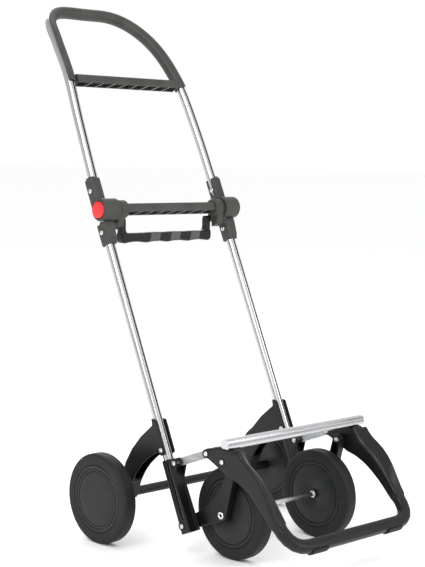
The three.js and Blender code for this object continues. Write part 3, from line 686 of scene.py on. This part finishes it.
def arched_legs(bm, rise):
    """Raises the outer top edge of both legs into one long arc, from the seat down to the bend."""
    longest = 9 * MM
    for _cut in range(2):
        long_edges = [e for e in bm.edges if e.calc_length() > longest]
        bmesh.ops.subdivide_edges(bm, edges=long_edges, cuts=2)
        bmesh.ops.triangulate(bm, faces=bm.faces[:])
    seat_y, bend_y = -203.0, -309.0
    inner_x, outer_x = 144, 166
    underside_z, underside_y, underside_slope, leg_height = 94, -307, 0.6344, 26
    forward = 5 / 14                         # the edge moves this much forward for each bit up
    for vert in bm.verts:
        x, y, z = vert.co.x / MM, vert.co.y / MM - SHIFT_Y, vert.co.z / MM
        along = (y - bend_y) / (seat_y - bend_y)
        if not 0 < along < 1:
            continue
        outward = min(max((abs(x) - inner_x) / (outer_x - inner_x), 0), 1)
        underside = underside_z + (y - underside_y) * underside_slope
        above = min(max((z - underside) / leg_height, 0), 1)
        fade = math.sin(math.pi / 2 * min(1, along * 1.7)) * min(1, (1 - along) / 0.05)
        raised = rise * outward * above * fade
        vert.co.z += raised
        vert.co.y -= forward * raised


def platform_section():
    """Round back, flat top and a face that curves down to the front, with two fine score lines."""
    y, z = PLATFORM_BAR
    half = 8.0                               # half its height
    back, front, flat = y + 2.0, y - 10.0, 6
    section = [(back + half * math.sin(a), z - half * math.cos(a)) for a in
               [math.pi * i / 18 for i in range(19)]]
    section.append((back - flat, z + half))
    start = Vector((back - flat, z + half))
    pull = Vector((front + 1, z + half))
    end = Vector((front, z - half + 3))
    steps, score_steps, score = 24, (9, 17), Vector((0.55, -0.25))
    for i in range(1, steps + 1):
        t = i / steps
        point = start * (1 - t) ** 2 + pull * 2 * t * (1 - t) + end * t * t
        if i in score_steps:
            point += score
        section.append((point.x, point.y))
    return section + [(front + 0.15, z - half + 1.1), (front + 1, z - half)]


def make_stand(sizes):
    mesh = rounded("stand_frame", 1.5, 24, lambda bm: arched_legs(bm, sizes.leg_rise))
    placed(mesh, "stand_frame_moulding", "stand", "grip", ["stand_frame"], crease=0)
    rounded_pair("foot_pad", "stand", 0.8, 3, "tyre_rubber")
    across = Matrix(((0, 0, 1, 0), (1, 0, 0, 0), (0, 1, 0, 0), (0, 0, 0, 1)))
    frames = [
        Matrix.Translation((x, 0, 0)) @ across
        for x in (-PLATFORM_HALF, -120, -60, 0, 60, 120, PLATFORM_HALF)
    ]
    bar = settled(
        swept(platform_section(), frames), "platform_bar_polished", "stand", "aluminium", ["platform_bar"],
    )
    bevel_live(bar, 0.9, 3, 50)


def make_arms(sizes):
    voxel, rounds = sizes.voxel / MM, sizes.smoothing
    rounded_pair("wheel_arm", "wheel_arms", voxel, rounds)
    rounded_pair("rear_arm", "rear_arms", voxel * 1.15, rounds)
    half, outer, inner, edge = 206.5, 8.5, 5.5, 0.1
    tube = [(outer - edge, -half), (outer, 0.5 - half), (outer, half - 0.5), (outer - edge, half)]
    tube += [(inner, half), (inner, -half), tube[0]]
    settled(
        turned(tube, *REAR_AXLE, 48), "rear_axle_tube_drawn", "rear_arms", "black_plastic",
        ["rear_axle_tube"],
    )
    for side in ("left", "right"):
        bm = copied(f"{side}_link_bar")
        bmesh.ops.dissolve_limit(bm, angle_limit=math.radians(1), verts=bm.verts, edges=bm.edges)
        bar = settled(
            bm, f"{side}_link_bar_pressed", "link_bars", "link_strip", [f"{side}_link_bar"],
            Matrix.Identity(4),
        )
        bevel_live(bar, 0.5)


# ---------- fasteners ----------
PIN_RADIUS = 3.1
HEAD_THICK = 1.8


def rivet(x_in, x_out, y, z, head):
    """A pin with a low domed head at each end."""
    def dome(x, out):
        return [(head * math.sin(a), x + out * HEAD_THICK * math.cos(a)) for a in
                [math.pi / 2 * i / 8 for i in range(9)]]
    shank = [(PIN_RADIUS, x_in), (PIN_RADIUS, x_out)]
    return turned(dome(x_in, -1) + shank + dome(x_out, 1)[::-1], y, z, 40)


def collar_ring(x, y, z):
    """A raised rim round a rivet head."""
    inner, outer, high, sunk = 5.3, 7.6, 1.0, 0.4
    rim = []
    for i in range(13):
        a = math.pi * i / 12
        rim.append(((inner + outer) / 2 - (outer - inner) / 2 * math.cos(a), x + high * math.sin(a)))
    return turned([(inner, x - sunk), *rim, (outer, x - sunk), (inner, x - sunk)], y, z, 48)


def mast_yz(v, s):
    point = MAST @ Vector((0, v, s))
    return point.y, point.z


def make_rivets(sizes):
    head = sizes.rivet_head / MM
    side_wall, arm_side, sleeve_side, sleeve_face = 143.4, 127.2, 144.4, 169.0
    rim_sink = 0.35
    rows = (
        ("link_rivet", "mast", side_wall, HEAD_SEAT, mast_yz(*LINK_PIVOT)),
        ("rear_arm_rivet", "mast", side_wall, HEAD_SEAT, mast_yz(*REAR_PIVOT)),
        ("wheel_arm_pin", "mast", arm_side, HEAD_SEAT, mast_yz(*ARM_PIVOT)),
        ("lower_sleeve_rivet", "mast", sleeve_side, sleeve_face, mast_yz(*LOWER_RIVET)),
        ("upper_sleeve_rivet", "handle", sleeve_side, sleeve_face, mast_yz(*UPPER_RIVET)),
        ("stand_pin", "stand", arm_side, HEAD_SEAT, STAND_PIN),
    )
    for name, body, x_in, x_out, (y, z) in rows:
        rim_body = "rear_arms" if name == "rear_arm_rivet" else body
        rim_finish = "upper_plastic" if "sleeve" in name else "black_plastic"
        for side in ("left", "right"):
            pin = on_side(rivet(x_in, x_out, y, z, head), side)
            settled(pin, f"{side}_{name}_zinc", body, "zinc_steel", [f"{side}_{name}"])
            rim = on_side(collar_ring(x_out - rim_sink, y, z), side)
            settled(rim, f"{side}_{name}_rim", rim_body, rim_finish)


def make_tail_pins():
    """Two stubs in each tail, with the link bar's end free to pass between them."""
    outer_end, inner_end, stub = 163.1, 150.3, 143.3
    outer = [
        (0, 171.8), (2.4, 171.55), (4.0, 170.9), (4.7, HEAD_SEAT), (PIN_RADIUS, HEAD_SEAT),
        (PIN_RADIUS, outer_end), (0, outer_end),
    ]
    inner = [
        (0, 142.9), (4.2, 142.9), (4.7, stub), (PIN_RADIUS, stub), (PIN_RADIUS, inner_end), (0, inner_end),
    ]
    for side in ("left", "right"):
        for profile, name in ((outer, "tail_pin_outer"), (inner, "tail_pin_inner")):
            pin = on_side(turned(profile, *TAIL_PIN, 40), side)
            settled(pin, f"{side}_{name}_zinc", "stand", "zinc_steel", [f"{side}_{name}"])
        rim = on_side(collar_ring(HEAD_SEAT - 0.35, *TAIL_PIN), side)
        settled(rim, f"{side}_tail_pin_rim", "stand", "black_plastic")


def make_main_axle():
    """The axle with a socket in each end, dark cups of painted shade inside the sockets, and its two nuts.
    """
    y, z = MAIN_AXLE
    half = [
        (0, -141.0), (3.0, -141.0), (3.0, -145.3), (3.4, -145.7), (6.0, -145.7), (6.5, -145.1),
        (6.5, -142.8), (4.0, -142.8),
    ]
    profile = half + [(radius, -x) for radius, x in reversed(half)]
    settled(turned(profile, y, z, 48), "main_axle_zinc", "wheel_arms", "zinc_steel", ["main_axle"])
    cup = [(0, 141.2), (2.9, 141.2), (2.9, 144.9), (2.7, 144.9), (2.7, 141.4), (0, 141.4)]
    nut_x, nut_radius, nut_thick = 94.4, 7.4, 4
    for side, sign in (("left", -1), ("right", 1)):
        # painted shade: a dark cup inside each socket
        socket = turned([(radius, sign * x) for radius, x in cup], y, z, 24)
        settled(socket, f"{side}_axle_socket_painted_shade", "wheel_arms", "groove")
        bm = bmesh.new()
        bmesh.ops.create_cone(
            bm, segments=6, radius1=nut_radius, radius2=nut_radius, depth=nut_thick, cap_ends=True,
            matrix=Matrix.Translation((sign * nut_x, y, z)) @ Matrix.Rotation(math.pi / 2, 4, "Y"),
        )
        name = f"{side}_axle_nut"
        nut = settled(bm, name + "_zinc", "wheel_arms", "zinc_steel", [name], crease=30)
        bevel_live(nut, 0.7, 2)


def make_fasteners(sizes):
    make_rivets(sizes)
    make_tail_pins()
    make_main_axle()
    for name in ("rear_axle", "button_spring"):
        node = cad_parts[name]
        node.data.materials.clear()
        node.data.materials.append(MATERIALS["zinc_steel"])


# ---------- wheels ----------
def tyre_profile(x):
    """Both side faces, rounded shoulders and a slightly crowned tread."""
    outer, half, inner, shoulder, crown = 82.5, 13.5, 62.0, 5.4, 0.25
    points = [(inner, x - half + 1.1), (inner + 0.8, x - half + 0.2), (inner + 1.6, x - half)]
    for i in range(9):
        a = math.pi / 2 * i / 8
        points.append((
            outer - crown - shoulder + shoulder * math.sin(a), x - half + shoulder - shoulder * math.cos(a),
        ))
    mirrored = [(radius, 2 * x - place) for radius, place in reversed(points)]
    return [*points, (outer, x), *mirrored, points[0]]


def groove_at(radius, face, out, width, depth):
    """Points of one narrow groove with softened edges, cut into a face."""
    half, soft = width / 2, 0.25
    return [
        (radius - half - 0.5, face), (radius - half, face - out * soft),
        (radius - half + soft, face - out * depth), (radius + half - soft, face - out * depth),
        (radius + half, face - out * soft), (radius + half + 0.5, face),
    ]


def hub_profile(x, sizes, cut_for_cap):
    """The wheel's disc with a ring groove in each face; rear discs are recessed for their cap."""
    half, rim, bore, boss = 13.0, 61.5, 4.4, 9.0
    recess, boss_recess = 2.3, 1.4
    near, far = x + half, x - half
    ring, width, depth = (
        size / MM for size in (sizes.groove_ring, sizes.groove_ring_width, sizes.groove_ring_depth)
    )
    outer = [(rim, near - 1.0), (rim - 0.5, near - 0.2), (rim - 1.2, near)]
    inner = groove_at(ring, near, 1, width, depth)[::-1]
    if cut_for_cap:
        inner += [(50.3, near), (50.3, near - recess), (bore, near - recess)]
    else:
        inner += [
            (boss + 0.6, near), (boss, near - 0.5), (boss, near - boss_recess), (bore, near - boss_recess),
        ]
    back = [(bore, far + boss_recess), (boss, far + boss_recess), (boss, far + 0.5), (boss + 0.6, far)]
    back += groove_at(ring, far, -1, width, depth)
    back += [(rim - 1.2, far), (rim - 0.5, far + 0.2), (rim, far + 1.0)]
    return [*outer, *inner, *back, outer[0]]


def cap_profile(face):
    """A thin round cap with a softened rim."""
    rim, thick = 49.8, 2.0
    return [
        (0, face - 0.05), (30, face - 0.05), (47.5, face - 0.1), (49.2, face - 0.35), (rim, face - 1.0),
        (rim, face - thick), (0, face - thick),
    ]


def make_wheels(sizes):
    for kind, x, (y, z) in (("main", MAIN_WHEEL_X, MAIN_AXLE), ("rear", REAR_WHEEL_X, REAR_AXLE)):
        rear = kind == "rear"
        profiles = [
            (tyre_profile(x), "tyre", "tyre_rubber"), (hub_profile(x, sizes, rear), "hub", "wheel_plastic"),
        ]
        if rear:
            profiles.append((cap_profile(x + 13.0), "cap", "wheel_plastic"))
        for side in ("left", "right"):
            body = f"{side}_{kind}_wheel"
            for profile, part, finish in profiles:
                bm = on_side(turned(profile, y, z, 128), side)
                settled(bm, f"{body}_{part}", body, finish, [f"{side}_{kind}_{part}"], crease=45)


# ---------- studio ----------
def camera_matrix():
    place = Vector((-1.7876, -1.8232 + SHIFT_Y * MM, 0.7034))
    target = Vector((-0.02967, SHIFT_Y * MM, 0.4700))
    forward = (target - place).normalized()
    right = forward.cross(Vector((0, 0, 1))).normalized()
    up = right.cross(forward)
    roll = 0.0158
    across = right * math.cos(roll) + up * math.sin(roll)
    above = up * math.cos(roll) - right * math.sin(roll)
    return Matrix.Translation(place) @ Matrix((across, above, -forward)).transposed().to_4x4()


def make_stage(sizes):
    scene = bpy.context.scene
    data = bpy.data.cameras.new("camera")
    data.sensor_width = 36
    data.lens = 87.45
    data.clip_end = 200
    camera = bpy.data.objects.new("camera", data)
    scene.collection.objects.link(camera)
    camera.matrix_world = camera_matrix()
    scene.camera = camera
    scene.view_settings.view_transform = "Standard"

    bm = bmesh.new()
    bmesh.ops.create_grid(bm, x_segments=1, y_segments=1, size=60)
    mesh = bpy.data.meshes.new("floor")
    bm.to_mesh(mesh)
    bm.free()
    floor = bpy.data.objects.new("floor", mesh)
    scene.collection.objects.link(floor)
    material, tree, _place = new_material("studio_floor")
    shaded(tree, add_node(
        tree, "ShaderNodeBsdfPrincipled", {"Base Color": (*linear(0xffffff), 1), "Roughness": 0.9},
    ))
    mesh.materials.append(material)

    world = bpy.data.worlds.new("studio")
    world.use_nodes = True
    scene.world = world
    tree = world.node_tree
    tree.nodes.clear()
    # plain white to look at and for soft light; shiny surfaces see a greyer left side and low rim
    ray_way = add_node(tree, "ShaderNodeNewGeometry")
    sideways = add_node(
        tree, "ShaderNodeVectorMath", {1: (0.72, -0.694, 0.25)}, {0: ray_way.outputs["Incoming"]},
        operation="DOT_PRODUCT",
    )
    spread = add_node(
        tree, "ShaderNodeMapRange", {"From Min": -1.0, "From Max": 1.0},
        {"Value": sideways.outputs["Value"]},
    )
    ramp = add_node(tree, "ShaderNodeValToRGB", links={"Fac": spread.outputs["Result"]})
    stops = ((0.0, 0.5), (0.18, 1.0), (0.5, 1.0), (0.62, 0.42), (0.8, 0.62), (1.0, 0.8))
    for _extra in stops[2:]:
        ramp.color_ramp.elements.new(0.5)
    for element, (position, level) in zip(ramp.color_ramp.elements, stops):
        element.position = position
        element.color = (level, level, level, 1)
    ray = add_node(tree, "ShaderNodeLightPath")
    shiny = add_node(
        tree, "ShaderNodeBackground", {"Strength": sizes.ambient}, {"Color": ramp.outputs["Color"]},
    )
    plain = add_node(tree, "ShaderNodeBackground", {"Color": (1, 1, 1, 1), "Strength": 1.0})
    both = add_node(
        tree, "ShaderNodeMixShader",
        links={0: ray.outputs["Is Glossy Ray"], 1: plain.outputs[0], 2: shiny.outputs[0]},
    )
    add_node(tree, "ShaderNodeOutputWorld", links={"Surface": both.outputs[0]})

    for name, spot, size, watts in (
        ("key", (-2.6, -1.2, 2.6), 1.8, 60),
        ("fill", (1.6, -2.8, 1.7), 1.6, 28),
        ("back", (1.2, 2.6, 2.6), 2.2, 45),
    ):
        lamp = bpy.data.lights.new(name, "AREA")
        lamp.size = size
        lamp.energy = watts
        light = bpy.data.objects.new(name, lamp)
        scene.collection.objects.link(light)
        aim = Vector((0, 0, 0.4)) - Vector(spot)
        light.matrix_world = Matrix.Translation(spot) @ aim.to_track_quat("-Z", "Y").to_matrix().to_4x4()


# ---------- settings, operators and panel ----------
class CartSizes(bpy.types.PropertyGroup):
    """Sizes that shape the finished surfaces."""
    groove_width: bpy.props.FloatProperty(
        name="Tube groove width", description="Width of the slot along a tube", default=3.0 * MM,
        unit="LENGTH",
    )
    groove_depth: bpy.props.FloatProperty(
        name="Tube groove depth", description="Depth of the slot along a tube", default=1.2 * MM,
        unit="LENGTH",
    )
    groove_ring: bpy.props.FloatProperty(
        name="Wheel groove radius", description="Radius of the groove on a wheel face", default=54.5 * MM,
        unit="LENGTH",
    )
    groove_ring_width: bpy.props.FloatProperty(
        name="Wheel groove width", description="Width of the groove on a wheel face", default=1.6 * MM,
        unit="LENGTH",
    )
    groove_ring_depth: bpy.props.FloatProperty(
        name="Wheel groove depth", description="Depth of the groove on a wheel face", default=1.5 * MM,
        unit="LENGTH",
    )
    edge_round: bpy.props.FloatProperty(
        name="Edge rounding", description="Width of the rounding on bar edges", default=0.5 * MM,
        unit="LENGTH",
    )
    voxel: bpy.props.FloatProperty(
        name="Moulding grid", description="Grid step used to soften mouldings", default=0.85 * MM,
        unit="LENGTH",
    )
    leg_rise: bpy.props.FloatProperty(
        name="Leg rise", description="How far the outer top edge of a stand leg is raised",
        default=14 * MM, unit="LENGTH",
    )
    pad_height: bpy.props.FloatProperty(
        name="Pad height", description="Height of the pads on the carry handle", default=21.5 * MM,
        unit="LENGTH",
    )
    pad_proud: bpy.props.FloatProperty(
        name="Pad stand-off", description="How far the pads stand out of the grip", default=0.35 * MM,
        unit="LENGTH",
    )
    rivet_head: bpy.props.FloatProperty(
        name="Rivet head", description="Radius of a rivet's head", default=4.7 * MM, unit="LENGTH",
    )
    smoothing: bpy.props.IntProperty(
        name="Smoothing", description="Rounds of smoothing on mouldings", default=9, min=0,
    )
    ambient: bpy.props.FloatProperty(
        name="Ambient light", description="Strength of the light from all round", default=0.95,
    )


class CartColours(bpy.types.PropertyGroup):
    """Colours of the cart's materials."""
    lower_nylon: bpy.props.FloatVectorProperty(
        name="Lower mouldings", description="Nylon of the brackets, the arms and the carry handle",
        default=linear(0x101011), subtype="COLOR", min=0, max=1,
    )
    upper_nylon: bpy.props.FloatVectorProperty(
        name="Upper mouldings", description="Nylon of the bars, the sleeves and the grip cover",
        default=linear(0x40403d), subtype="COLOR", min=0, max=1,
    )
    stand_nylon: bpy.props.FloatVectorProperty(
        name="Stand", description="Soft-touch nylon of the stand",
        default=linear(0x121213), subtype="COLOR", min=0, max=1,
    )
    pads: bpy.props.FloatVectorProperty(
        name="Carry pads", description="Elastomer pads on the carry handle",
        default=linear(0x545556), subtype="COLOR", min=0, max=1,
    )
    wheel_discs: bpy.props.FloatVectorProperty(
        name="Wheel discs", description="Polypropylene discs and caps",
        default=linear(0x161818), subtype="COLOR", min=0, max=1,
    )
    tyres: bpy.props.FloatVectorProperty(
        name="Tyres", description="Foamed tyres and foot pads",
        default=linear(0x171919), subtype="COLOR", min=0, max=1,
    )
    button: bpy.props.FloatVectorProperty(
        name="Button", description="Release button",
        default=linear(0xd91f26), subtype="COLOR", min=0, max=1,
    )
    tubes: bpy.props.FloatVectorProperty(
        name="Tubes", description="Anodised tubes",
        default=linear(0xcccdcf), subtype="COLOR", min=0, max=1,
    )
    platform: bpy.props.FloatVectorProperty(
        name="Platform bar", description="Polished bar that carries the load",
        default=linear(0xcfd0d2), subtype="COLOR", min=0, max=1,
    )
    links: bpy.props.FloatVectorProperty(
        name="Link bars", description="Pressed strips between bracket and stand",
        default=linear(0xb4b6b8), subtype="COLOR", min=0, max=1,
    )
    fasteners: bpy.props.FloatVectorProperty(
        name="Fasteners", description="Zinc-plated rivets, pins and axles",
        default=linear(0xe0e3e4), subtype="COLOR", min=0, max=1,
    )


def build(context, make):
    """Runs one building step with the scene's settings."""
    if not MATERIALS:
        make_materials(context.scene.cart_colours)
    make(context.scene.cart_sizes)
    return {"FINISHED"}


class CART_OT_mast_tubes(bpy.types.Operator):
    """Builds the two grooved lower tubes"""
    bl_idname = "cart.mast_tubes"
    bl_label = "Mast tubes"

    def execute(self, context):
        return build(context, make_mast_tubes)


class CART_OT_handle_loop(bpy.types.Operator):
    """Builds the bent handle tube and its grip cover"""
    bl_idname = "cart.handle_loop"
    bl_label = "Handle loop"

    def execute(self, context):
        return build(context, make_handle_loop)


class CART_OT_bars(bpy.types.Operator):
    """Builds the hinge bar and the handle crossbar"""
    bl_idname = "cart.bars"
    bl_label = "Bars"

    def execute(self, context):
        return build(context, make_bars)


class CART_OT_fold_joints(bpy.types.Operator):
    """Builds the sleeves, their ribs, the button and the cap"""
    bl_idname = "cart.fold_joints"
    bl_label = "Fold joints"

    def execute(self, context):
        return build(context, make_fold_joints)


class CART_OT_carry_handle(bpy.types.Operator):
    """Builds the carry handle and its pads"""
    bl_idname = "cart.carry_handle"
    bl_label = "Carry handle"

    def execute(self, context):
        return build(context, make_carry_handle)


class CART_OT_brackets(bpy.types.Operator):
    """Builds the lower brackets"""
    bl_idname = "cart.brackets"
    bl_label = "Brackets"

    def execute(self, context):
        return build(context, make_brackets)


class CART_OT_stand(bpy.types.Operator):
    """Builds the stand, its pads and the platform bar"""
    bl_idname = "cart.stand"
    bl_label = "Stand"

    def execute(self, context):
        return build(context, make_stand)


class CART_OT_arms(bpy.types.Operator):
    """Builds the wheel arms, rear arms, links and axle tube"""
    bl_idname = "cart.arms"
    bl_label = "Arms"

    def execute(self, context):
        return build(context, make_arms)


class CART_OT_fasteners(bpy.types.Operator):
    """Builds the rivets, pins, axles and nuts"""
    bl_idname = "cart.fasteners"
    bl_label = "Fasteners"

    def execute(self, context):
        return build(context, make_fasteners)


class CART_OT_wheels(bpy.types.Operator):
    """Builds the four wheels"""
    bl_idname = "cart.wheels"
    bl_label = "Wheels"

    def execute(self, context):
        return build(context, make_wheels)


class CART_OT_stage(bpy.types.Operator):
    """Builds the floor, lights and camera"""
    bl_idname = "cart.stage"
    bl_label = "Studio"

    def execute(self, context):
        return build(context, make_stage)


OPERATORS = (
    CART_OT_mast_tubes,
    CART_OT_handle_loop,
    CART_OT_bars,
    CART_OT_fold_joints,
    CART_OT_carry_handle,
    CART_OT_brackets,
    CART_OT_stand,
    CART_OT_arms,
    CART_OT_fasteners,
    CART_OT_wheels,
    CART_OT_stage,
)


class CART_PT_panel(bpy.types.Panel):
    """Lists the cart's sizes, colours and building steps."""
    bl_label = "Folding cart"
    bl_idname = "CART_PT_panel"
    bl_space_type = "VIEW_3D"
    bl_region_type = "UI"
    bl_category = "Cart"

    def draw(self, context):
        scene = context.scene
        for group in (scene.cart_sizes, scene.cart_colours):
            for key in type(group).__annotations__:
                self.layout.prop(group, key)
        for operator in OPERATORS:
            self.layout.operator(operator.bl_idname)


CLASSES = (CartSizes, CartColours, *OPERATORS, CART_PT_panel)


def register():
    for cls in CLASSES:
        bpy.utils.register_class(cls)
    bpy.types.Scene.cart_sizes = bpy.props.PointerProperty(type=CartSizes)
    bpy.types.Scene.cart_colours = bpy.props.PointerProperty(type=CartColours)


def unregister():
    del bpy.types.Scene.cart_colours
    del bpy.types.Scene.cart_sizes
    for cls in reversed(CLASSES):
        bpy.utils.unregister_class(cls)


def main():
    register()
    bpy.ops.cart.mast_tubes()
    bpy.ops.cart.handle_loop()
    bpy.ops.cart.bars()
    bpy.ops.cart.fold_joints()
    bpy.ops.cart.carry_handle()
    bpy.ops.cart.brackets()
    bpy.ops.cart.stand()
    bpy.ops.cart.arms()
    bpy.ops.cart.fasteners()
    bpy.ops.cart.wheels()
    bpy.ops.cart.stage()


if __name__ == "__main__":
    main()
